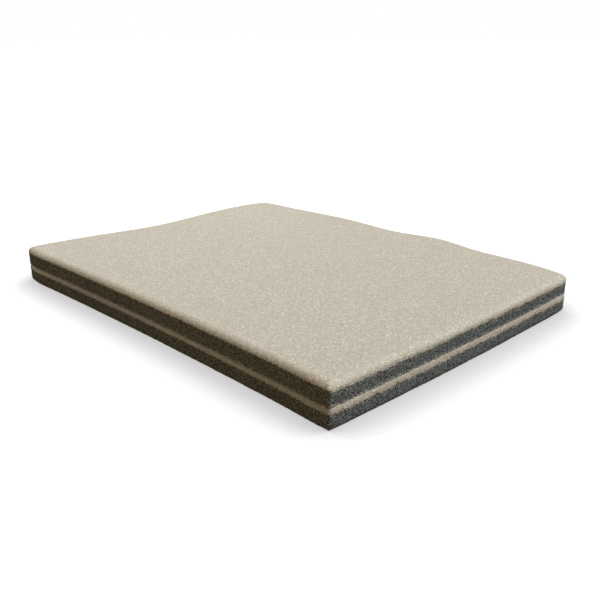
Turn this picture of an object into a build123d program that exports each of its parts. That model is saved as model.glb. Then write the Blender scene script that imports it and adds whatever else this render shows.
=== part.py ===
from build123d import *
import math
import os

# Craft foam sheet of two equal plies. Each ply is a layer of grey foam under a thin sandy
# facing that rolls over the top rim and ends part of the way down the side. The two plies
# are bonded flat, so a narrow groove runs round the sheet where their rounded edges meet.
# The sheet lies on the XY plane with its long side along X. Sizes are in millimetres.

# Overall size of the sheet
sheet_length = 140.0
sheet_width = 105.0

# Build-up of one ply
foam_thickness = 5.0
facing_thickness = 0.5

# Edge of one ply: the facing covers the rolled rim, and the foam below it tucks in at the foot
rim_width = 2.6
rim_height = 1.7
rim_steps = 3
foot_width = 0.6
foot_height = 1.1

# Corner radii in plan
front_right_radius = 0.8
front_left_radius = 3.0
back_right_radius = 3.0
back_left_radius = 7.0
sharpest_radius = 0.2

# The front edge is cut slightly hollow and the right edge slightly full
front_edge_hollow = 1.2
right_edge_fullness = 0.9

# The left and back edges are cut by hand and wander. Each pair is the share of the way along
# the edge, from the front or from the right, and how far the cut lies inside the overall size.
left_edge_cut = ((0.0, 0.0), (0.12, 1.4), (0.27, 3.9), (0.42, 6.7), (0.62, 5.7), (0.84, 5.0), (1.0, 7.0))
back_edge_cut = (
    (0.0, 5.6),
    (0.15, 2.9),
    (0.25, 2.4),
    (0.355, 0.0),
    (0.46, 2.7),
    (0.61, 2.0),
    (0.8, 3.8),
    (1.0, 4.9),
)

# Worked out from the sizes above
ply_thickness = foam_thickness + facing_thickness
rim_base = ply_thickness - rim_height
left_limit = -sheet_length / 2
right_limit = sheet_length / 2
front_limit = -sheet_width / 2
back_limit = sheet_width / 2


def round_corner(plan, corner, radius):
    """The plan with the corner nearest to the given point rounded."""
    nearest = min(plan.vertices(), key=lambda vertex: (Vector(*vertex) - corner).length)
    return plan.fillet_2d(radius, [nearest])


def sheet_plan(inset):
    """Plan of the sheet, with every edge moved in by the inset."""
    left = left_limit + inset
    right = right_limit - inset
    front = front_limit + inset
    back = back_limit - inset
    front_left = Vector(left + left_edge_cut[0][1], front)
    front_right = Vector(right - right_edge_fullness, front)
    back_right = Vector(right - right_edge_fullness, back - back_edge_cut[0][1])
    back_left = Vector(left + left_edge_cut[-1][1], back - back_edge_cut[-1][1])

    # Between its ends each wavy edge passes through the listed cuts
    left_run = [Vector(left + cut, front_limit + share * sheet_width) for share, cut in left_edge_cut[1:-1]]
    back_run = [Vector(right_limit - share * sheet_length, back - cut) for share, cut in back_edge_cut[1:-1]]
    front_edge = ThreePointArc(front_left, Vector(0, front + front_edge_hollow), front_right)
    right_edge = ThreePointArc(front_right, Vector(right, 0), back_right)
    back_edge = Spline(back_right, *back_run, back_left)
    left_edge = Spline(back_left, *reversed(left_run), front_left)
    plan = Face(Wire([front_edge, right_edge, back_edge, left_edge]))

    for corner, radius in (
        (front_right, front_right_radius),
        (front_left, front_left_radius),
        (back_right, back_right_radius),
        (back_left, back_left_radius),
    ):
        plan = round_corner(plan, corner, max(radius - inset, sharpest_radius))
    return plan


def rolled_rim(inset, height):
    """Sections (inset, height) of a rim that rolls from the flank up to a flat top, a quarter ellipse."""
    turns = [step / rim_steps * math.pi / 2 for step in range(rim_steps + 1)]
    return [(inset + rim_width * (1 - math.cos(turn)), rim_base + height * math.sin(turn)) for turn in turns]


def stack_plans(sections):
    """Solid through the sheet's plan at each (inset, height), from the lowest up."""
    return loft([Pos(0, 0, height) * sheet_plan(inset) for inset, height in sections], ruled=True)


def make_ply():
    """Facing and foam of one ply, with the ply's foot on the XY plane."""
    rim = stack_plans(rolled_rim(0.0, rim_height))
    foam_crown = stack_plans(rolled_rim(facing_thickness, rim_height - facing_thickness))
    foam_base = stack_plans([(foot_width, 0.0), (0.0, foot_height), (0.0, rim_base)])
    return rim - foam_crown, foam_base + foam_crown


def build_sheet():
    """All four layers by name, with the sheet centred on the origin and its underside at zero height."""
    facing, foam = make_ply()
    middle = sheet_plan(0.0).bounding_box().center()
    layers = {}
    for ply_name, base_height in (("lower", 0.0), ("upper", ply_thickness)):
        place = Pos(-middle.X, -middle.Y, base_height)
        layers[f"{ply_name}_foam"] = place * foam
        layers[f"{ply_name}_facing"] = place * facing
    return layers


os.makedirs("parts", exist_ok=True)
for layer_name, layer in build_sheet().items():
    export_step(layer, f"parts/{layer_name}.step")
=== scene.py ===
"""Craft foam sheet: two bonded plies of grey foam, each under a sandy facing that rolls over its rim."""

import math
from functools import partial

import bpy
import numpy as np
from bpy.props import FloatProperty, FloatVectorProperty, IntProperty, PointerProperty
from mathutils import Matrix, Vector, geometry


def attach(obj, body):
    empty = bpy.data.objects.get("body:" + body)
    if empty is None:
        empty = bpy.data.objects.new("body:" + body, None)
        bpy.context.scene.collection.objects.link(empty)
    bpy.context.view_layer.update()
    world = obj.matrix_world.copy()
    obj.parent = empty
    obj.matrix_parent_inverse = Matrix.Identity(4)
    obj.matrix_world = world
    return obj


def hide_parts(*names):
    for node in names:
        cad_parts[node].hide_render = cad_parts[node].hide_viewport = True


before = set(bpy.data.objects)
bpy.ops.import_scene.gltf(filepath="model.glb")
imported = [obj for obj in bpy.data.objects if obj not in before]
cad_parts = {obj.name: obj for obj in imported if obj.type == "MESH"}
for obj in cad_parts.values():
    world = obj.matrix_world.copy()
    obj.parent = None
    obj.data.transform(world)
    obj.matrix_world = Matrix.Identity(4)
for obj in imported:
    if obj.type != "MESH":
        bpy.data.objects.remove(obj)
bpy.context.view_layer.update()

bl_info = {
    "name": "Craft foam sheet",
    "version": (1, 0, 0),
    "blender": (4, 5, 0),
    "location": "3D View > Sidebar > Foam Sheet",
    "description": "Builds a two-ply craft foam sheet with sandy facings and open foam edges",
    "category": "Add Mesh",
}

MM = 0.001
PLIES = ("lower", "upper")
WHITE = (1.0, 1.0, 1.0, 1.0)

# A quarter and a whole turn, in radians
QUARTER = math.pi / 2
ROUND = 2 * math.pi

# Reading the frame: how near a corner lies to its level in metres, and the digits that are kept
LEVEL_TOLERANCE = 1e-6
LEVEL_DIGITS = 6
PLACE_DIGITS = 7

# Smooth outlines: points on each span, points to pick partners from, and the share of the way
# round over which the partners at a corner are spread
SPAN_POINTS = 12
PARTNER_POINTS = 4000
PARTNER_SPREAD = 0.004

# Edge of a ply: how far the wear spreads from the front left corner, the torn side's share of the
# pressed rim's width, how much cleaner the front edge is, its share of the grit's reach, and how
# high up the rim the lip may lie
CORNER_REACH = 6 * MM
TORN_PRESSED_SHARE = 0.4
FRONT_CLEANNESS = 0.75
CLEAN_REACH_SHARE = 0.4
HIGHEST_LIP = 0.9

# Each run of tears along the lip: how strong it is and how long one tear is
TEARS = ((0.55, 2.4 * MM), (0.65, 0.7 * MM))

# Facing: mesh rows over the rim and under it, how far up the rim the facing starts to thicken,
# the slant of its lip as a share of the coat, and the sharpest edge that is shaded smooth
RIM_ROWS = 9
UNDER_ROWS = 4
COAT_START = 0.35
LIP_SLANT = 0.2
SHARP_EDGE = math.radians(60)

# Flat top, in shares of the mesh pitch: how far its points wander and stay from the rim
POINT_WANDER = 0.55
RIM_CLEARANCE = 0.6
BLOCK_SIZE = 4000
INSIDE_ONLY = 1
SAME_POINT = 1e-9

# Cut foam: how far up the rim its wall goes, the rows of its crown, and its gap to the facing
WALL_SHARE = 0.62
CROWN_ROWS = 4
LAYER_GAP = 0.01 * MM

# Open cells: how far each wanders in its square, its least and greatest radius, its least depth,
# the width of the fine cells beside the coarse ones, and how deep each kind is
CELL_WANDER = 0.7
CELL_RADII = (0.32, 0.7)
LEAST_DEPTH = 0.35
FINE_WIDTH = 0.55
COARSE_DEPTH = 0.75
FINE_DEPTH = 0.35

# Waves in the cut face, and how fully grit covers the foam at the seam where the cut is clean
# and how much more where it is torn; this grit is partly painted light, paling the upper foam's foot
# where light bounces off the lower rim and where the groove's shadow line would show
WAVE_WIDTH = 6 * MM
WAVE_DEPTH = 0.04 * MM
SEAM_GRIT_AND_BOUNCE = 0.3
TORN_SEAM_GRIT_AND_BOUNCE = 0.38

# Draws start from the seed plus these: for a foam layer, for the upper ply, for the grains on the
# rim and on the top, and for the fine cells and the waves of the foam
FOAM_SEED = 50
PLY_SEED = 10
RIM_SEED = 2
TOP_SEED = 3
FINE_SEED = 1
WAVE_SEED = 2


# Settings

# A length in metres, and a colour
LengthProperty = partial(FloatProperty, unit="LENGTH", precision=5)
ColourProperty = partial(FloatVectorProperty, subtype="COLOR", min=0.0, max=1.0)


class FoamSheetSizes(bpy.types.PropertyGroup):
    """Sizes of the sheet's surface detail."""

    grain: LengthProperty(
        name="Grain",
        description="Width of one grain of the sandy facing",
        default=0.32 * MM,
    )
    grain_relief: LengthProperty(
        name="Grain relief",
        description="How far the grains stand up from the facing",
        default=0.035 * MM,
    )
    ragged: LengthProperty(
        name="Ragged lip",
        description="How far the facing's lower lip wanders up and down",
        default=0.3 * MM,
    )
    coat: LengthProperty(
        name="Coat step",
        description="How far the facing's rim stands proud of the foam beside it",
        default=0.025 * MM,
    )
    lip_rise: LengthProperty(
        name="Lip rise",
        description="Height of the facing's lower lip above the start of the rim's roll",
        default=0.35 * MM,
    )
    torn_rise: LengthProperty(
        name="Torn lip rise",
        description="The same where the lip is torn",
        default=-0.33 * MM,
    )
    lower_rise: LengthProperty(
        name="Lower torn lip rise",
        description="How much higher the torn lip lies on the lower ply",
        default=0.42 * MM,
    )
    grit_reach: LengthProperty(
        name="Grit reach",
        description="How far the grit thins out above and below the torn lip",
        default=1.4 * MM,
    )
    # Painted shade: the share by which the lower ply's rim along the front edge, which lies in shade, is
    # painted towards the foam's colour
    front_rim_shade: FloatProperty(
        name="Thin coat",
        description="Share of the grit that is missing from the lower ply's rim along the front edge",
        default=0.56,
        min=0.0,
        max=1.0,
    )
    worn_corner: LengthProperty(
        name="Worn corner",
        description="How far the front left corner is worn back",
        default=0.8 * MM,
    )
    # Partly painted light: grit paled onto the upper foam's foot near the seam also stands in for light
    # bounced off the lower ply's rim
    seam_grit_and_bounce: LengthProperty(
        name="Seam grit",
        description="How far grit clings to the foam above the seam",
        default=1.1 * MM,
    )
    free_rim: FloatProperty(
        name="Free rim",
        description="Width of the upper ply's rolled rim as a share of the frame's",
        default=0.76,
    )
    pressed_rim: FloatProperty(
        name="Pressed rim",
        description="The same for the lower ply's rim, under the weight of the upper ply",
        default=0.27,
    )
    pressed_foot: FloatProperty(
        name="Pressed foot",
        description="Tuck of the upper ply's foot as a share of the lower ply's",
        default=0.05,
    )
    cell: LengthProperty(
        name="Foam cell",
        description="Width of one open cell in the cut foam",
        default=0.36 * MM,
    )
    cell_depth: LengthProperty(
        name="Cell depth",
        description="Depth of the open cells in the cut foam",
        default=0.28 * MM,
    )
    facing_pitch: LengthProperty(
        name="Facing mesh pitch",
        description="Spacing of the mesh points on the facing",
        default=0.5 * MM,
    )
    rim_pitch: LengthProperty(
        name="Rim mesh pitch",
        description="Spacing of the mesh points along the facing's rim",
        default=0.36 * MM,
    )
    foam_pitch: LengthProperty(
        name="Foam mesh pitch",
        description="Spacing of the mesh points on the foam's sides",
        default=0.18 * MM,
    )
    seed: IntProperty(name="Seed", description="Start of every random draw", default=7)


class FoamSheetColours(bpy.types.PropertyGroup):
    """Colours of the facing and the foam."""

    facing: ColourProperty(
        name="Facing",
        description="Main colour of the sandy facing",
        default=(0.565, 0.505, 0.402),
    )
    facing_dark: ColourProperty(
        name="Facing hollows",
        description="Colour between the grains of the facing",
        default=(0.35, 0.302, 0.228),
    )
    facing_bright: ColourProperty(
        name="Facing specks",
        description="Colour of the brightest grains",
        default=(0.92, 0.87, 0.77),
    )
    foam: ColourProperty(
        name="Foam",
        description="Colour of the foam's cell walls",
        default=(0.222, 0.235, 0.223),
    )
    # Colour of bare foam at the torn lip, and also the colour that the lower ply's front rim is painted
    # towards as painted shade
    worn_foam_and_shade: ColourProperty(
        name="Worn foam",
        description="Colour of the foam where it shows through the facing",
        default=(0.142, 0.122, 0.085),
    )
    # Also the colour that deeper points of the cut cells are painted towards, a painted shade
    foam_dark: ColourProperty(
        name="Foam hollows",
        description="Colour inside the foam's open cells",
        default=(0.016, 0.015, 0.013),
    )


class FoamSheetStudio(bpy.types.PropertyGroup):
    """Camera and light for the picture of the sheet."""

    camera_place: FloatVectorProperty(
        name="Camera",
        description="Where the camera stands",
        default=(0.16195, -0.15005, 0.07955),
        subtype="TRANSLATION",
        unit="LENGTH",
        precision=5,
    )
    camera_azimuth: FloatProperty(
        name="Azimuth",
        description="Direction from the sheet to the camera, round from the X axis",
        default=math.radians(-43.915),
        subtype="ANGLE",
    )
    camera_elevation: FloatProperty(
        name="Elevation",
        description="How steeply the camera looks down",
        default=math.radians(20.466),
        subtype="ANGLE",
    )
    camera_roll: FloatProperty(
        name="Roll",
        description="Tilt of the camera about its line of sight",
        default=math.radians(0.329),
        subtype="ANGLE",
    )
    lens: FloatProperty(
        name="Lens",
        description="Focal length on a sensor 36 mm wide",
        default=44.94,
        unit="CAMERA",
    )
    key_strength: FloatProperty(
        name="Key light",
        description="Strength of the main light, in watts per square metre",
        default=2.9,
        min=0.0,
    )
    window_strength: FloatProperty(
        name="Window light",
        description="Strength of the low broad light on the right edge",
        default=0.5,
        min=0.0,
    )
    lamp_power: FloatProperty(
        name="Lamp power",
        description="Power of the small lamp over the left end, in watts",
        default=0.036,
        min=0.0,
        precision=4,
    )
    fill_strength: FloatProperty(
        name="Fill light",
        description="Strength of the low warm light on the front edge",
        default=0.52,
        min=0.0,
    )
    sky_strength: FloatProperty(
        name="Sky light",
        description="Strength of the even light from all round",
        default=0.12,
        min=0.0,
    )


# Plan of the sheet, read from the frame


def node_points(node):
    """The corners of a CAD node's mesh, in metres."""
    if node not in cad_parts:
        raise RuntimeError(f"The frame has no node named {node}")
    cad_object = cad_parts[node]
    return np.array([cad_object.matrix_world @ vertex.co for vertex in cad_object.data.vertices])


def ring_at(node, height):
    """The outermost points of a CAD node at one height, in order round the sheet."""
    points = node_points(node)
    level = points[np.abs(points[:, 2] - height) < LEVEL_TOLERANCE][:, :2]
    level = np.unique(np.round(level, PLACE_DIGITS), axis=0)
    middle = level.mean(axis=0)
    angle = np.arctan2(level[:, 1] - middle[1], level[:, 0] - middle[0])
    return level[np.argsort(angle)]


def levels_of(node):
    """The heights at which a CAD node's mesh has corners, from the lowest up."""
    return np.unique(np.round(node_points(node)[:, 2], LEVEL_DIGITS))


def smooth_curve(ring):
    """A smooth closed curve through the ring's points, finely sampled, and the way along it."""
    previous = np.roll(ring, 1, axis=0)
    following = np.roll(ring, -1, axis=0)
    before = np.linalg.norm(ring - previous, axis=1)[:, None]
    after = np.linalg.norm(following - ring, axis=1)[:, None]
    slope = ((following - ring) / after * before + (ring - previous) / before * after) / (before + after)
    steps = np.linspace(0.0, 1.0, SPAN_POINTS, endpoint=False)[:, None]
    square = steps**2
    cube = steps**3
    # Each span is a cubic that leaves and meets its ends along their slopes
    spans = []
    for index in range(len(ring)):
        end = (index + 1) % len(ring)
        span = after[index, 0]
        spans.append(
            (2 * cube - 3 * square + 1) * ring[index]
            + (cube - 2 * square + steps) * span * slope[index]
            + (3 * square - 2 * cube) * ring[end]
            + (cube - square) * span * slope[end]
        )
    curve = np.concatenate([*spans, ring[:1]])
    along = np.concatenate([[0.0], np.cumsum(np.linalg.norm(np.diff(curve, axis=0), axis=1))])
    return curve, along


def spaced_points(curve, along, count):
    """Points evenly spaced along a closed curve."""
    places = np.linspace(0.0, along[-1], count, endpoint=False)
    return np.stack([np.interp(places, along, curve[:, axis]) for axis in (0, 1)], axis=1)


def matched_ring(outer, inner_ring):
    """For each point of the outer ring, its partner on the inner ring, without crossings at corners."""
    inner = spaced_points(*smooth_curve(inner_ring), PARTNER_POINTS)
    nearest = [np.argmin(np.sum((inner - point) ** 2, axis=1)) for point in outer]
    angles = np.unwrap(np.array(nearest) / PARTNER_POINTS * ROUND)
    # Spread the partners round each corner over an odd number of points, so that no two share one
    window = max(3, int(round(len(outer) * PARTNER_SPREAD)) | 1)
    kernel = np.hanning(window + 2)[1:-1]
    kernel /= kernel.sum()
    half = window // 2
    wrapped = np.concatenate([angles[-half:] - ROUND, angles, angles[:half] + ROUND])
    spread = np.convolve(wrapped, kernel, mode="valid")
    place = (spread / ROUND % 1.0) * PARTNER_POINTS
    low = np.floor(place).astype(int) % PARTNER_POINTS
    high = (low + 1) % PARTNER_POINTS
    share = (place - np.floor(place))[:, None]
    return inner[low] * (1 - share) + inner[high] * share


def outward_normals(ring):
    """Unit vectors that point out of the sheet at each point of a ring."""
    along = np.roll(ring, -1, axis=0) - np.roll(ring, 1, axis=0)
    along /= np.linalg.norm(along, axis=1)[:, None]
    return np.stack([along[:, 1], -along[:, 0]], axis=1)


# Random fields


def random_table(seed, shape):
    """Random numbers from 0 to 1, in a table of the given shape."""
    return np.random.default_rng(seed).random(shape)


def ease(share):
    """A share from 0 to 1 that starts and ends gently."""
    return share * share * (3 - 2 * share)


def value_noise(u, v, size, seed, period):
    """Smooth noise from -1 to 1 over two coordinates, which repeats after the period along the first."""
    columns = int(round(period / size))
    x = u * columns / period
    y = v / size
    x0 = np.floor(x).astype(int)
    y0 = np.floor(y).astype(int)
    # Rows on both sides of each point, and one to spare
    rows = int(y0.max() - y0.min()) + 3
    table = random_table(seed, (columns, rows))
    right = ease(x - x0)
    up = ease(y - y0)
    column = x0 % columns
    beside = (x0 + 1) % columns
    row = y0 - y0.min()
    lower = table[column, row] * (1 - right) + table[beside, row] * right
    upper = table[column, row + 1] * (1 - right) + table[beside, row + 1] * right
    return 2 * (lower * (1 - up) + upper * up) - 1


def cell_pits(u, v, size, seed, period):
    """Depth from 0 to 1 of round open cells of mixed width, scattered over two coordinates."""
    columns = int(round(period / size))
    pitch = period / columns
    x = u / pitch
    y = v / pitch
    x0 = np.floor(x).astype(int)
    y0 = np.floor(y).astype(int)
    low_row = y0.min() - 1
    rows = int(y0.max() - low_row) + 2
    shift_x, shift_y, width, strength = random_table(seed, (4, columns, rows))
    margin = (1 - CELL_WANDER) / 2
    least_radius, greatest_radius = CELL_RADII
    depth = np.zeros_like(x)
    for step_x in (-1, 0, 1):
        for step_y in (-1, 0, 1):
            column = (x0 + step_x) % columns
            row = np.clip(y0 + step_y - low_row, 0, rows - 1)
            away_x = x - (x0 + step_x + margin + CELL_WANDER * shift_x[column, row])
            away_y = y - (y0 + step_y + margin + CELL_WANDER * shift_y[column, row])
            radius = least_radius + (greatest_radius - least_radius) * width[column, row]
            bowl = np.sqrt(np.clip(1 - (away_x**2 + away_y**2) / radius**2, 0, 1))
            depth = np.maximum(depth, bowl * (LEAST_DEPTH + (1 - LEAST_DEPTH) * strength[column, row]))
    return depth


# Meshes


def bridge(first, second, count):
    """Faces between two closed rows of points, given by the first point of each row."""
    column = np.arange(count)
    beside = (column + 1) % count
    return np.stack([first + column, first + beside, second + beside, second + column], axis=-1).tolist()


def band_faces(rows, count, first=0):
    """Faces of a closed band of rows of points."""
    faces = []
    for row in range(rows - 1):
        faces += bridge(first + row * count, first + (row + 1) * count, count)
    return faces


def flipped(faces):
    """The same faces, turned to look the other way."""
    return [face[::-1] for face in faces]


def cap(first, count):
    """One face that closes a row of points."""
    return list(range(first, first + count))


def add_piece(name, points, faces, material):
    """A smooth mesh object from points and faces, with its material."""
    mesh = bpy.data.meshes.new(name)
    mesh.from_pydata([tuple(point) for point in points], [], faces)
    mesh.update()
    mesh.validate()
    mesh.materials.append(material)
    mesh.polygons.foreach_set("use_smooth", [True] * len(mesh.polygons))
    piece = bpy.data.objects.new(name, mesh)
    bpy.context.scene.collection.objects.link(piece)
    return piece


def add_attribute(piece, label, values):
    """One number per point, for the material."""
    attribute = piece.data.attributes.new(label, "FLOAT", "POINT")
    attribute.data.foreach_set("value", np.asarray(values, np.float32).ravel())


class PlyForm:
    """The outline and heights of one ply, read from its CAD nodes and sampled at one pitch."""

    def __init__(self, ply, pitch, sizes):
        foam_levels = levels_of(f"{ply}_foam")
        facing_levels = levels_of(f"{ply}_facing")
        self.base = foam_levels[0]
        self.foot_top = foam_levels[1]
        self.rim_base = facing_levels[0]
        self.top = facing_levels[-1]
        self.rim_height = self.top - self.rim_base
        self.thickness = self.top - foam_levels[-1]
        self.coat = sizes.coat
        self.set_outline(ply, pitch, sizes)
        self.set_lip(ply, sizes)

    def set_outline(self, ply, pitch, sizes):
        """Plan of the ply's side, and how its rim rolls in from there."""
        curve, along = smooth_curve(ring_at(f"{ply}_foam", self.foot_top))
        self.length = along[-1]
        self.count = int(round(self.length / pitch))
        self.along = np.arange(self.count) / self.count * self.length
        outer = spaced_points(curve, along, self.count)
        self.normals = outward_normals(outer)
        self.facing_front = np.clip(-self.normals[:, 1], 0, 1)
        front_left = outer[np.argmin(outer.sum(axis=1))]
        nearness = np.exp(-np.sum((outer - front_left) ** 2, axis=1) / CORNER_REACH**2)
        wear = self.normals * (sizes.worn_corner * nearness)[:, None]
        self.outer = outer - wear
        plateau = matched_ring(self.outer, ring_at(f"{ply}_facing", self.top)) - wear
        share = sizes.free_rim
        if ply == "lower":
            # The upper ply presses the lower rim nearly square, and most of all where the cut is torn
            clean = TORN_PRESSED_SHARE + (1 - TORN_PRESSED_SHARE) * self.facing_front
            share = (sizes.pressed_rim * clean)[:, None]
        self.roll = (plateau - self.outer) * share
        self.roll_width = np.linalg.norm(self.roll, axis=1)

    def set_lip(self, ply, sizes):
        """Height of the facing's lower lip: torn along the right edge, and clean along the front edge."""
        self.roughness = 1 - FRONT_CLEANNESS * self.facing_front
        tear = 0
        for draw, (strength, size) in enumerate(TEARS):
            tear += strength * value_noise(self.along, 0 * self.along, size, sizes.seed + draw, self.length)
        torn_rise = sizes.torn_rise
        # Painted shade: how far the rim is painted darker, only on the lower ply and most where it faces
        # the front, which lies in shade
        self.front_shade = 0 * self.facing_front
        if ply == "lower":
            torn_rise += sizes.lower_rise
            self.front_shade = sizes.front_rim_shade * self.facing_front
        rise = torn_rise + (sizes.lip_rise - torn_rise) * self.facing_front
        self.lip = self.rim_base + rise + sizes.ragged * tear * self.roughness
        clean = CLEAN_REACH_SHARE + (1 - CLEAN_REACH_SHARE) * self.roughness**3
        self.reach = sizes.grit_reach * clean

    def rim_points(self, turn, depth):
        """Points on the rolled rim at a turn from upright (0) to flat (a quarter), some depth in."""
        turn = np.broadcast_to(turn, (self.count,))
        plan = self.outer + self.roll * (1 - np.cos(turn))[:, None]
        height = self.rim_base + self.rim_height * np.sin(turn)
        slope = np.arctan2(np.sin(turn) / self.rim_height, np.cos(turn) / self.roll_width)
        plan = plan - self.normals * (depth * np.cos(slope))[:, None]
        return np.column_stack([plan, height - depth * np.sin(slope)])

    def coat_depth(self, turn):
        """Thickness of the facing: only the coat step on the flank, full thickness on top."""
        turned = np.broadcast_to(turn, (self.count,)) / QUARTER
        share = np.clip((turned - COAT_START) / (1 - COAT_START), 0, 1)
        return self.coat + (self.thickness - self.coat) * ease(share)

    def cover(self, heights):
        """How fully grit covers the rim: all above the torn edge, half at the lip, none below."""
        return np.clip((1 + (heights - self.lip) / self.reach) / 2, 0, 1)

    def lip_turn(self):
        """Turn of the rim at which the facing's lower lip lies."""
        return np.arcsin(np.clip((self.lip - self.rim_base) / self.rim_height, 0, HIGHEST_LIP))


# Facings


def facing_rows(form, relief, generator):
    """Rows of points over the rim, from the lip up to the flat top, and rows under it the same way."""
    start = form.lip_turn()
    low = np.minimum(form.lip, form.rim_base + form.rim_height * np.sin(start))
    outer_rows = []
    for step in range(RIM_ROWS + 1):
        turn = start + (QUARTER - start) * step / RIM_ROWS
        # The grains push each point in, never out, and leave the edge of the flat top alone
        push = relief * generator.random(form.count) * (step < RIM_ROWS)
        outer_rows.append(form.rim_points(turn, push))
    under_rows = []
    for step in range(UNDER_ROWS + 1):
        turn = start + (QUARTER - start) * step / UNDER_ROWS
        under_rows.append(form.rim_points(turn, form.coat_depth(turn)))
    outer_rows[0][:, 2] = low
    under_rows[0][:, 2] = low + LIP_SLANT * form.coat
    return outer_rows, under_rows


def build_facing(ply, context):
    """Facing of one ply: a slender closed skin over the rim and the top."""
    sizes = context.scene.foam_sheet_sizes
    form = PlyForm(ply, sizes.rim_pitch, sizes)
    seed = sizes.seed + PLY_SEED * PLIES.index(ply)
    count = form.count
    generator = np.random.default_rng(seed + RIM_SEED)
    outer_rows, under_rows = facing_rows(form, sizes.grain_relief, generator)
    outer_last = (len(outer_rows) - 1) * count
    under_first = len(outer_rows) * count
    under_last = under_first + (len(under_rows) - 1) * count
    points = np.concatenate(outer_rows + under_rows)
    faces = band_faces(len(outer_rows), count)
    faces += flipped(band_faces(len(under_rows), count, under_first))
    faces += flipped(bridge(0, under_first, count))
    faces += flipped([cap(under_last, count)])

    if ply == "upper":
        generator = np.random.default_rng(seed + TOP_SEED)
        grains, top_faces = fill_top(outer_rows[-1], form.top, sizes, generator)
        places = np.concatenate([np.arange(count) + outer_last, np.arange(len(grains)) + len(points)])
        points = np.concatenate([points, grains])
        faces += places[top_faces].tolist()
    else:
        faces.append(cap(outer_last, count))
    piece = add_piece(f"{ply}_facing_skin", points, faces, facing_material(context))
    piece.data.set_sharp_from_angle(angle=SHARP_EDGE)

    # For the material: how fully grit covers each point of the rim, and how far the lower ply's front rim
    # is painted darker there, a painted shade
    cover = np.ones(len(points))
    cover[:under_first] = form.cover(points[:under_first, 2].reshape(-1, count)).ravel()
    add_attribute(piece, "cover", cover)
    front_shade = np.zeros(len(points))
    front_shade[:under_first] = np.tile(form.front_shade, len(outer_rows))
    add_attribute(piece, "front_shade", front_shade)
    return piece


def scattered_points(low, high, pitch, generator):
    """Points on a grid of triangles between two corners, each a little out of place."""
    rows = []
    for index, height in enumerate(np.arange(low[1], high[1], pitch * math.sqrt(3) / 2)):
        across = np.arange(low[0] + (index % 2) * pitch / 2, high[0], pitch)
        rows.append(np.column_stack([across, np.full(len(across), height)]))
    points = np.concatenate(rows)
    return points + (generator.random(points.shape) - 0.5) * pitch * POINT_WANDER


def fill_top(boundary, height, sizes, generator):
    """Points inside the flat top's boundary at the heights of their grains, and faces that join all."""
    pitch = sizes.facing_pitch
    edge = boundary[:, :2]
    scattered = scattered_points(edge.min(axis=0), edge.max(axis=0), pitch, generator)
    scattered = scattered[inside_ring(scattered, edge, RIM_CLEARANCE * pitch)]
    flat = np.concatenate([edge, scattered])
    count = len(edge)
    edges = [(index, (index + 1) % count) for index in range(count)]
    corners = [Vector(point) for point in flat]
    places, _, triangles, sources, _, _ = geometry.delaunay_2d_cdt(
        corners, edges, [cap(0, count)], INSIDE_ONLY, SAME_POINT, True
    )
    places = np.array([tuple(place) for place in places])
    triangles = np.array(triangles)
    # The outline is hollow in places, so triangles that lie beyond it are left out
    triangles = triangles[inside_ring(places[triangles].mean(axis=1), edge, 0.0)]
    origin = np.array([source[0] for source in sources])
    relief = sizes.grain_relief * (generator.random(len(flat)) - 1)
    return np.column_stack([scattered, height + relief[count:]]), origin[triangles]


def inside_ring(points, ring, margin):
    """Which points lie inside the ring by more than the margin."""
    inside = np.zeros(len(points), bool)
    x, y = points.T
    for start, end in zip(ring, np.roll(ring, -1, axis=0)):
        if start[1] == end[1]:
            continue
        crosses = (start[1] > y) != (end[1] > y)
        crossing = (end[0] - start[0]) * (y - start[1]) / (end[1] - start[1]) + start[0]
        inside ^= crosses & (x < crossing)
    # The distances to every second point of the ring are worked out a block at a time
    clear = np.ones(len(points), bool)
    for begin in range(0, len(points), BLOCK_SIZE):
        block = points[begin : begin + BLOCK_SIZE]
        distance = np.min(np.sum((block[:, None] - ring[None, ::2]) ** 2, axis=2), axis=1)
        clear[begin : begin + BLOCK_SIZE] = distance > margin**2
    return inside & clear


# Foam layers


def cell_hollows(form, heights, sizes, seed):
    """How deep each point of the cut wall lies in its cell, and how far the cut itself waves in."""
    u = np.tile(form.along, (len(heights), 1))
    v = np.tile((heights - form.base)[:, None], (1, form.count))
    coarse = cell_pits(u, v, sizes.cell, seed, form.length)
    fine = cell_pits(u, v, sizes.cell * FINE_WIDTH, seed + FINE_SEED, form.length)
    waves = value_noise(u, v, WAVE_WIDTH, seed + WAVE_SEED, form.length)
    return COARSE_DEPTH * coarse + FINE_DEPTH * fine, WAVE_DEPTH * (waves + 1)


def wall_rows(form, heights, depth, foot_width):
    """Rows of points up the cut wall, which tucks in at the foot."""
    rows = []
    for height, row_depth in zip(heights, depth):
        turn = math.asin(max(0.0, (height - form.rim_base) / form.rim_height))
        tuck = foot_width * max(0.0, 1 - (height - form.base) / (form.foot_top - form.base)) ** 2
        points = form.rim_points(turn, form.coat_depth(turn) + LAYER_GAP + row_depth)
        points[:, :2] -= form.normals * tuck
        points[:, 2] = height
        rows.append(points)
    return rows


def crown_rows(form):
    """Rows of points that follow the underside of the facing, up to the flat top."""
    rows = []
    start = math.asin(WALL_SHARE)
    for step in range(1, CROWN_ROWS + 1):
        turn = start + (QUARTER - start) * step / CROWN_ROWS
        rows.append(form.rim_points(turn, form.coat_depth(turn) + LAYER_GAP))
    return rows


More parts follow.
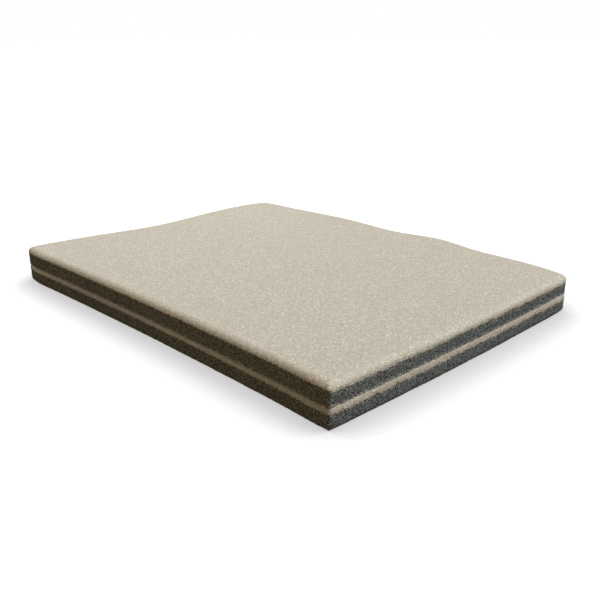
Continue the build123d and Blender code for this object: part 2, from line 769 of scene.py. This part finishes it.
def build_foam(ply, context):
    """Foam layer of one ply: a closed block whose cut sides show open cells."""
    sizes = context.scene.foam_sheet_sizes
    form = PlyForm(ply, sizes.foam_pitch, sizes)
    seed = sizes.seed + FOAM_SEED + PLY_SEED * PLIES.index(ply)
    foot = matched_ring(form.outer, ring_at(f"{ply}_foam", form.base))
    foot_width = np.median(np.linalg.norm(foot - form.outer, axis=1))
    if ply == "upper":
        foot_width *= sizes.pressed_foot

    # The wall runs up behind the facing's lip
    wall_top = form.rim_base + WALL_SHARE * form.rim_height
    row_count = int(round((wall_top - form.base) / sizes.foam_pitch)) + 1
    heights = np.linspace(form.base, wall_top, row_count)
    hollow, wave = cell_hollows(form, heights, sizes, seed)
    rows = wall_rows(form, heights, sizes.cell_depth * hollow + wave, foot_width)
    rows += crown_rows(form)
    faces = band_faces(len(rows), form.count)
    faces += flipped([cap(0, form.count)])
    faces.append(cap((len(rows) - 1) * form.count, form.count))
    piece = add_piece(f"{ply}_foam_layer", np.concatenate(rows), faces, foam_material(context))

    # For the material: how fully grit covers each point of the wall, with painted bounce light at the seam,
    # and how deep it lies in its cell, which is painted darker as painted shade
    cover = np.zeros((len(rows), form.count))
    cover[:row_count] = form.cover(heights[:, None])
    if ply == "upper":
        # Painted bounce light, partly real grit: the upper foam's foot is painted paler towards the seam,
        # standing in for light bounced off the lower rim and lifting the groove's shadow line
        near_seam = np.clip(1 - (heights - form.base) / sizes.seam_grit_and_bounce, 0, 1)
        seam_grit_and_bounce_cover = near_seam[:, None] * (SEAM_GRIT_AND_BOUNCE + TORN_SEAM_GRIT_AND_BOUNCE * form.roughness)
        cover[:row_count] = np.maximum(cover[:row_count], seam_grit_and_bounce_cover)
    add_attribute(piece, "cover", cover)
    depths = np.zeros((len(rows), form.count))
    depths[:row_count] = hollow
    add_attribute(piece, "hollow", depths)
    return piece


# Materials

# Sockets of a Mix node that mixes colours
MIX_INPUTS = (0, 6, 7)
MIX_OUTPUT = 2

# Grit: how much finer the small grains are, and how much wider the blotches. Then how strongly
# each shades the grit, the spans of distance, tone and draw that are turned into hollows, shade
# and specks, and how far the small grains and each grain's own height add to the relief.
FINE_GRAINS = 2.3
BLOTCHES = 0.05
BLOTCH_DETAIL = 3.0
GRAIN_TONE = 0.5
FINE_TONE = 0.5
BLOTCH_TONE = 0.15
HOLLOW_SPAN = (0.35, 0.75)
HOLLOW_SHADE = 0.25
TONE_SPAN = (0.2, 0.95)
TONE_SHADE = (0.5, 0.0)
SPECK_SPAN = (0.8, 0.9)
FINE_SPECK_SPAN = (0.9, 0.95)
SPECK_STRENGTH = 0.45
FINE_RELIEF = 0.4
GRAIN_HEIGHT = 0.5

# Torn edge: the width of one speck as a share of a grain and in waves of the noise, how far the
# cover lifts the specks, and the span over which they turn from bare to covered
SPECK_SHARE = 0.55
SPECK_WAVES = 0.5
SPECK_DETAIL = 2.0
COVER_LIFT = 0.45
TORN_SPAN = (0.68, 0.77)

# Facing: its relief, its shine from matt grit to bright specks, and its gloss
GRIT_BUMP = 0.75
GRIT_BUMP_HEIGHT = 0.1 * MM
GRIT_ROUGHNESS = (0.62, 0.42)
GRIT_SPECULAR = 0.45

# Foam: the small cells' width as a share of the large ones, how far the large ones darken it by their depth
# as painted shade and the small ones by their own random tone, the span over which they do, its relief and
# its shine
SMALL_CELL = 0.5
LARGE_CELL_SHADE = 0.3
SMALL_CELL_SHADE = 0.7
CELL_SHADE_SPAN = (0.25, 0.75)
CELL_BUMP = 0.6
CELL_BUMP_HEIGHT = 0.08 * MM
FOAM_ROUGHNESS = 0.95
FOAM_SPECULAR = 0.15

# Floor: its colours as the camera sees it and as the sheet does, its glow inside the painted shadow
# and what open floor clear of the sheet adds to that, and how far and how steeply that painted shadow
# spreads from the sheet
FLOOR_SHOWN = (0.06, 0.06, 0.06, 1.0)
FLOOR_HIDDEN = (0.15, 0.118, 0.068, 1.0)
SHADOW_GLOW = 0.56
OPEN_GLOW = 0.72
SHADE_REACH = 60 * MM
SHADE_POWER = 4.0
SHADE_SAMPLES = 16


def new_group(name, inputs, outputs):
    """An empty shader node group with named sockets, and its input and output nodes."""
    group = bpy.data.node_groups.new(name, "ShaderNodeTree")
    for label, kind, default in inputs:
        socket = group.interface.new_socket(label, in_out="INPUT", socket_type=kind)
        if default is not None:
            socket.default_value = default
    for label, kind in outputs:
        group.interface.new_socket(label, in_out="OUTPUT", socket_type=kind)
    return group, group.nodes.new("NodeGroupInput"), group.nodes.new("NodeGroupOutput")


def feed(tree, socket, value):
    """Give a socket a number, a colour or what another socket puts out."""
    if isinstance(value, bpy.types.NodeSocket):
        tree.links.new(value, socket)
    else:
        socket.default_value = value


def feed_all(tree, node, values):
    """Give each named socket of a node its value."""
    for label, value in values.items():
        feed(tree, node.inputs[label], value)


def math_node(tree, operation, *values, clamp=False):
    """The outcome of a sum on numbers or sockets."""
    node = tree.nodes.new("ShaderNodeMath")
    node.operation = operation
    node.use_clamp = clamp
    for socket, value in zip(node.inputs, values):
        feed(tree, socket, value)
    return node.outputs[0]


def mix_colours(tree, share, first, second):
    """A colour between two."""
    node = tree.nodes.new("ShaderNodeMix")
    node.data_type = "RGBA"
    for index, value in zip(MIX_INPUTS, (share, first, second)):
        feed(tree, node.inputs[index], value)
    return node.outputs[MIX_OUTPUT]


def map_range(tree, value, span, result=(0.0, 1.0)):
    """The value moved gently from one span to another, and held within its ends."""
    node = tree.nodes.new("ShaderNodeMapRange")
    node.interpolation_type = "SMOOTHSTEP"
    for socket, number in zip(node.inputs, (value, *span, *result)):
        feed(tree, socket, number)
    return node.outputs[0]


def scattered_cells(tree, vector, scale):
    """Cells of one width: the distance from each cell's middle, and three draws for each cell."""
    cells = tree.nodes.new("ShaderNodeTexVoronoi")
    feed_all(tree, cells, {"Vector": vector, "Scale": scale})
    draws = tree.nodes.new("ShaderNodeSeparateColor")
    tree.links.new(cells.outputs["Color"], draws.inputs[0])
    return cells.outputs["Distance"], draws.outputs


def soft_noise(tree, vector, scale, detail):
    """Cloudy noise."""
    noise = tree.nodes.new("ShaderNodeTexNoise")
    feed_all(tree, noise, {"Vector": vector, "Scale": scale, "Detail": detail})
    return noise.outputs[0]


def relief_normal(tree, height, strength, distance):
    """Normals of a surface whose grains stand up by a height."""
    bump = tree.nodes.new("ShaderNodeBump")
    feed_all(tree, bump, {"Height": height, "Strength": strength, "Distance": distance})
    return bump.outputs["Normal"]


def point_value(tree, label):
    """A number that each point of a piece carries."""
    attribute = tree.nodes.new("ShaderNodeAttribute")
    attribute.attribute_name = label
    return attribute.outputs["Fac"]


def sandy_grit_group():
    """Grit: grains of mixed brightness with dark hollows between and a few bright specks."""
    name = "Sandy grit"
    if name in bpy.data.node_groups:
        return bpy.data.node_groups[name]
    group, start, end = new_group(
        name,
        [
            ("Vector", "NodeSocketVector", None),
            ("Grain width", "NodeSocketFloat", 0.45 * MM),
            ("Main colour", "NodeSocketColor", (0.5, 0.45, 0.4, 1.0)),
            ("Hollow colour", "NodeSocketColor", (0.3, 0.27, 0.22, 1.0)),
            ("Speck colour", "NodeSocketColor", (0.9, 0.87, 0.8, 1.0)),
        ],
        [
            ("Colour", "NodeSocketColor"),
            ("Height", "NodeSocketFloat"),
            ("Specks", "NodeSocketFloat"),
        ],
    )
    vector = start.outputs["Vector"]
    scale = math_node(group, "DIVIDE", 1.0, start.outputs["Grain width"])
    distance, draws = scattered_cells(group, vector, scale)
    fine_scale = math_node(group, "MULTIPLY", scale, FINE_GRAINS)
    fine_distance, fine_draws = scattered_cells(group, vector, fine_scale)
    blotch_scale = math_node(group, "MULTIPLY", scale, BLOTCHES)
    blotches = soft_noise(group, vector, blotch_scale, BLOTCH_DETAIL)

    tone = math_node(group, "MULTIPLY", draws[0], GRAIN_TONE)
    tone = math_node(group, "MULTIPLY_ADD", fine_draws[1], FINE_TONE, tone)
    tone = math_node(group, "MULTIPLY_ADD", blotches, BLOTCH_TONE, tone)
    shade = map_range(group, tone, TONE_SPAN, TONE_SHADE)
    hollow = map_range(group, distance, HOLLOW_SPAN)
    shade = math_node(group, "MULTIPLY_ADD", hollow, HOLLOW_SHADE, shade, clamp=True)
    body = mix_colours(group, shade, start.outputs["Main colour"], start.outputs["Hollow colour"])

    specks = map_range(group, draws[1], SPECK_SPAN)
    fine_specks = map_range(group, fine_draws[2], FINE_SPECK_SPAN)
    specks = math_node(group, "MAXIMUM", specks, fine_specks)
    lit = math_node(group, "MULTIPLY", specks, SPECK_STRENGTH)
    colour = mix_colours(group, lit, body, start.outputs["Speck colour"])

    height = math_node(group, "SUBTRACT", 1.0, distance)
    fine_height = math_node(group, "SUBTRACT", 1.0, fine_distance)
    height = math_node(group, "MULTIPLY_ADD", fine_height, FINE_RELIEF, height)
    height = math_node(group, "MULTIPLY_ADD", draws[2], GRAIN_HEIGHT, height)
    feed_all(group, end, {"Colour": colour, "Height": height, "Specks": specks})
    return group


def torn_edge_group():
    """Where grit still covers the foam: solid to none as the cover falls, in specks between."""
    name = "Torn edge"
    if name in bpy.data.node_groups:
        return bpy.data.node_groups[name]
    group, start, end = new_group(
        name,
        [
            ("Vector", "NodeSocketVector", None),
            ("Cover", "NodeSocketFloat", 0.5),
            ("Speck width", "NodeSocketFloat", 0.3 * MM),
        ],
        [("Grit", "NodeSocketFloat")],
    )
    scale = math_node(group, "DIVIDE", SPECK_WAVES, start.outputs["Speck width"])
    specks = soft_noise(group, start.outputs["Vector"], scale, SPECK_DETAIL)
    lifted = math_node(group, "MULTIPLY_ADD", start.outputs["Cover"], COVER_LIFT, specks)
    group.links.new(map_range(group, lifted, TORN_SPAN), end.inputs["Grit"])
    return group


def torn_edge_in(tree, coordinates, context):
    """The torn edge group placed in a material, reading the piece's cover."""
    torn = tree.nodes.new("ShaderNodeGroup")
    torn.node_tree = torn_edge_group()
    speck = SPECK_SHARE * context.scene.foam_sheet_sizes.grain
    feed_all(tree, torn, {"Vector": coordinates, "Cover": point_value(tree, "cover"), "Speck width": speck})
    return torn.outputs["Grit"]


def opaque(colour):
    """A colour with full opacity."""
    return (*colour, 1.0)


def grit_in(tree, coordinates, context):
    """The grit group placed in a material with the sheet's colours."""
    colours = context.scene.foam_sheet_colours
    grit = tree.nodes.new("ShaderNodeGroup")
    grit.node_tree = sandy_grit_group()
    values = {
        "Vector": coordinates,
        "Grain width": context.scene.foam_sheet_sizes.grain,
        "Main colour": opaque(colours.facing),
        "Hollow colour": opaque(colours.facing_dark),
        "Speck colour": opaque(colours.facing_bright),
    }
    feed_all(tree, grit, values)
    return grit


def facing_material(context):
    """Sandy facing: matt grit with a few glinting grains, worn to the foam at its torn lip, and painted
    darker along the lower ply's front rim as painted shade.
    """
    name = "sandy_facing"
    if name in bpy.data.materials:
        return bpy.data.materials[name]
    material = bpy.data.materials.new(name)
    material.use_nodes = True
    tree = material.node_tree
    shader = tree.nodes["Principled BSDF"]
    place = tree.nodes.new("ShaderNodeTexCoord").outputs["Object"]
    grit = grit_in(tree, place, context)
    # The foam's colour shows at the torn lip, and the lower ply's front rim is mixed towards it as painted
    # shade where that edge lies in shade
    foam = opaque(context.scene.foam_sheet_colours.worn_foam_and_shade)
    coat = mix_colours(tree, point_value(tree, "front_shade"), grit.outputs["Colour"], foam)
    colour = mix_colours(tree, torn_edge_in(tree, place, context), foam, coat)
    roughness = map_range(tree, grit.outputs["Specks"], (0.0, 1.0), GRIT_ROUGHNESS)
    normal = relief_normal(tree, grit.outputs["Height"], GRIT_BUMP, GRIT_BUMP_HEIGHT)
    feed_all(tree, shader, {"Base Color": colour, "Roughness": roughness, "Normal": normal})
    shader.inputs["Specular IOR Level"].default_value = GRIT_SPECULAR
    return material


def foam_material(context):
    """Open-cell foam: dark cells between paler walls, deeper points painted darker as painted shade, dusted
    with grit below the facing's rim and paler at the seam as painted bounce light.
    """
    name = "cut_foam"
    if name in bpy.data.materials:
        return bpy.data.materials[name]
    colours = context.scene.foam_sheet_colours
    material = bpy.data.materials.new(name)
    material.use_nodes = True
    tree = material.node_tree
    shader = tree.nodes["Principled BSDF"]
    place = tree.nodes.new("ShaderNodeTexCoord").outputs["Object"]
    cell_width = SMALL_CELL * context.scene.foam_sheet_sizes.cell
    distance, draws = scattered_cells(tree, place, 1 / cell_width)
    # Painted shade: the deeper a point lies in its cut cell, the darker it is painted; each small cell's
    # random tone is the foam's own
    depth = math_node(tree, "MULTIPLY", point_value(tree, "hollow"), LARGE_CELL_SHADE)
    depth = math_node(tree, "MULTIPLY_ADD", draws[0], SMALL_CELL_SHADE, depth)
    dark = map_range(tree, depth, CELL_SHADE_SPAN)
    foam = mix_colours(tree, dark, opaque(colours.foam), opaque(colours.foam_dark))
    grit = grit_in(tree, place, context)
    colour = mix_colours(tree, torn_edge_in(tree, place, context), foam, grit.outputs["Colour"])
    normal = relief_normal(tree, distance, CELL_BUMP, CELL_BUMP_HEIGHT)
    feed_all(tree, shader, {"Base Color": colour, "Normal": normal})
    shader.inputs["Roughness"].default_value = FOAM_ROUGHNESS
    shader.inputs["Specular IOR Level"].default_value = FOAM_SPECULAR
    return material


def show_apart(tree, hidden, shown, surface):
    """Give a surface one shader where the camera sees it, and another for the light it sends on."""
    rays = tree.nodes.new("ShaderNodeLightPath").outputs
    seen = math_node(tree, "MAXIMUM", rays["Is Camera Ray"], rays["Is Glossy Ray"])
    seen = math_node(tree, "MAXIMUM", seen, rays["Is Transmission Ray"])
    choice = tree.nodes.new("ShaderNodeMixShader")
    for socket, source in zip(choice.inputs, (seen, hidden, shown)):
        tree.links.new(source, socket)
    tree.links.new(choice.outputs[0], surface)


def floor_material():
    """Pale floor that stays white round a soft shadow painted into its glow, with only a faint real shadow
    from its diffuse part.
    """
    material = bpy.data.materials.new("pale_floor")
    material.use_nodes = True
    tree = material.node_tree
    tree.nodes.remove(tree.nodes["Principled BSDF"])
    plain = tree.nodes.new("ShaderNodeBsdfDiffuse")
    plain.inputs["Color"].default_value = FLOOR_SHOWN
    # Painted shadow: the glow is darkened close to the sheet by an occlusion term, evenly on every side of
    # it
    openness = tree.nodes.new("ShaderNodeAmbientOcclusion")
    openness.samples = SHADE_SAMPLES
    openness.inputs["Distance"].default_value = SHADE_REACH
    painted_shadow = math_node(tree, "POWER", openness.outputs["AO"], SHADE_POWER)
    glow = tree.nodes.new("ShaderNodeEmission")
    glow.inputs["Color"].default_value = WHITE
    tree.links.new(math_node(tree, "MULTIPLY_ADD", painted_shadow, OPEN_GLOW, SHADOW_GLOW), glow.inputs["Strength"])
    shown = tree.nodes.new("ShaderNodeAddShader")
    tree.links.new(plain.outputs[0], shown.inputs[0])
    tree.links.new(glow.outputs[0], shown.inputs[1])
    hidden = tree.nodes.new("ShaderNodeBsdfDiffuse")
    hidden.inputs["Color"].default_value = FLOOR_HIDDEN
    surface = tree.nodes["Material Output"].inputs["Surface"]
    show_apart(tree, hidden.outputs[0], shown.outputs[0], surface)
    return material


# Stage

# Distance from the middle of the floor to its edges, in metres, and the colour of the sky
FLOOR_REACH = 3.0
SKY_COLOUR = (0.93, 0.96, 1.0, 1.0)

# Distant lights: azimuth, elevation and spread in degrees, and colour
SUNS = {
    "key": (50, 55, 35, (0.96, 0.98, 1.0)),
    "window": (25, 33, 60, (0.9, 0.96, 1.0)),
    "fill": (-100, 14, 40, (1.0, 0.58, 0.13)),
}

# Small lamp over the left end, in metres
LAMP_PLACE = Vector((-0.13, 0.06, 0.14))
LAMP_TARGET = Vector((-0.06, -0.01, 0.0))
LAMP_WIDTH = 0.12
LAMP_COLOUR = (1.0, 0.98, 0.94)

# Width of the camera's sensor in millimetres, and the nearest that it sees in metres
SENSOR_WIDTH = 36.0
NEAREST_SEEN = 0.01


def direction(azimuth, elevation):
    """Unit vector that points towards an azimuth and elevation."""
    flat = math.cos(elevation)
    return Vector((flat * math.cos(azimuth), flat * math.sin(azimuth), math.sin(elevation)))


def add_floor():
    """A flat square floor under the sheet."""
    half = FLOOR_REACH
    corners = [(-half, -half, 0), (half, -half, 0), (half, half, 0), (-half, half, 0)]
    return add_piece("floor", corners, [(0, 1, 2, 3)], floor_material())


def add_sky(scene, strength):
    """Even light from all round, and white wherever the camera sees it."""
    world = bpy.data.worlds.new("studio")
    world.use_nodes = True
    tree = world.node_tree
    sky = tree.nodes["Background"]
    feed_all(tree, sky, {"Color": SKY_COLOUR, "Strength": strength})
    white = tree.nodes.new("ShaderNodeBackground")
    white.inputs["Color"].default_value = WHITE
    surface = tree.nodes["World Output"].inputs["Surface"]
    show_apart(tree, sky.outputs[0], white.outputs[0], surface)
    scene.world = world


def add_light(name, light, colour, back):
    """A light object whose back faces a direction."""
    light.color = colour
    lamp = bpy.data.objects.new(name, light)
    lamp.rotation_euler = back.to_track_quat("Z", "Y").to_euler()
    bpy.context.scene.collection.objects.link(lamp)
    return lamp


def add_sun(name, strength, azimuth, elevation, spread, colour):
    """A distant light from an azimuth and elevation, softened by its spread, all in degrees."""
    light = bpy.data.lights.new(name, "SUN")
    light.energy = strength
    light.angle = math.radians(spread)
    add_light(name, light, colour, direction(math.radians(azimuth), math.radians(elevation)))


def add_lamp(power):
    """A small square lamp that brightens the left end."""
    light = bpy.data.lights.new("lamp", "AREA")
    light.energy = power
    light.size = LAMP_WIDTH
    lamp = add_light("lamp", light, LAMP_COLOUR, LAMP_PLACE - LAMP_TARGET)
    lamp.location = LAMP_PLACE


def add_camera(scene, studio):
    """The camera at the photograph's angle."""
    lens = bpy.data.cameras.new("camera")
    lens.sensor_fit = "HORIZONTAL"
    lens.sensor_width = SENSOR_WIDTH
    lens.lens = studio.lens
    lens.clip_start = NEAREST_SEEN
    camera = bpy.data.objects.new("camera", lens)
    back = direction(studio.camera_azimuth, studio.camera_elevation)
    turn = back.to_track_quat("Z", "Y").to_matrix() @ Matrix.Rotation(-studio.camera_roll, 3, "Z")
    camera.matrix_world = Matrix.Translation(studio.camera_place) @ turn.to_4x4()
    scene.collection.objects.link(camera)
    scene.camera = camera


# Operators


class FOAMSHEET_OT_facings(bpy.types.Operator):
    """Build the sandy facing of each ply"""

    bl_idname = "foam_sheet.facings"
    bl_label = "Build facings"

    def execute(self, context):
        for ply in PLIES:
            piece = build_facing(ply, context)
            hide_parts(f"{ply}_facing")
            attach(piece, "root")
        return {"FINISHED"}


class FOAMSHEET_OT_foam(bpy.types.Operator):
    """Build the foam layer of each ply, with its open cells"""

    bl_idname = "foam_sheet.foam"
    bl_label = "Build foam layers"

    def execute(self, context):
        for ply in PLIES:
            piece = build_foam(ply, context)
            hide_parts(f"{ply}_foam")
            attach(piece, "root")
        return {"FINISHED"}


class FOAMSHEET_OT_stage(bpy.types.Operator):
    """Lay the floor, set the light and place the camera"""

    bl_idname = "foam_sheet.stage"
    bl_label = "Set the stage"

    def execute(self, context):
        scene = context.scene
        studio = scene.foam_sheet_studio
        floor = add_floor()
        add_sky(scene, studio.sky_strength)
        strengths = {
            "key": studio.key_strength,
            "window": studio.window_strength,
            "fill": studio.fill_strength,
        }
        for name, sun in SUNS.items():
            add_sun(name, strengths[name], *sun)
        add_lamp(studio.lamp_power)
        add_camera(scene, studio)
        scene.view_settings.view_transform = "Standard"
        return {"FINISHED"}


class FOAMSHEET_PT_panel(bpy.types.Panel):
    """Foam sheet tools"""

    bl_idname = "FOAMSHEET_PT_panel"
    bl_label = "Foam Sheet"
    bl_space_type = "VIEW_3D"
    bl_region_type = "UI"
    bl_category = "Foam Sheet"

    def draw(self, context):
        """Show every setting and a button for each operator."""
        for settings in (
            context.scene.foam_sheet_sizes,
            context.scene.foam_sheet_colours,
            context.scene.foam_sheet_studio,
        ):
            box = self.layout.box()
            for label in settings.bl_rna.properties.keys():
                if label not in ("rna_type", "name"):
                    box.prop(settings, label)
        for operator in OPERATORS:
            self.layout.operator(operator.bl_idname)


SETTINGS = (FoamSheetSizes, FoamSheetColours, FoamSheetStudio)
OPERATORS = (FOAMSHEET_OT_facings, FOAMSHEET_OT_foam, FOAMSHEET_OT_stage)


def register():
    """Make the settings, operators and panel known."""
    for group in (*SETTINGS, *OPERATORS, FOAMSHEET_PT_panel):
        bpy.utils.register_class(group)
    bpy.types.Scene.foam_sheet_sizes = PointerProperty(type=FoamSheetSizes)
    bpy.types.Scene.foam_sheet_colours = PointerProperty(type=FoamSheetColours)
    bpy.types.Scene.foam_sheet_studio = PointerProperty(type=FoamSheetStudio)


def unregister():
    """Take the settings, operators and panel away again."""
    del bpy.types.Scene.foam_sheet_sizes
    del bpy.types.Scene.foam_sheet_colours
    del bpy.types.Scene.foam_sheet_studio
    for group in reversed((*SETTINGS, *OPERATORS, FOAMSHEET_PT_panel)):
        bpy.utils.unregister_class(group)


def main():
    """Build the sheet and its stage."""
    register()
    bpy.ops.foam_sheet.facings()
    bpy.ops.foam_sheet.foam()
    bpy.ops.foam_sheet.stage()


if __name__ == "__main__":
    main()
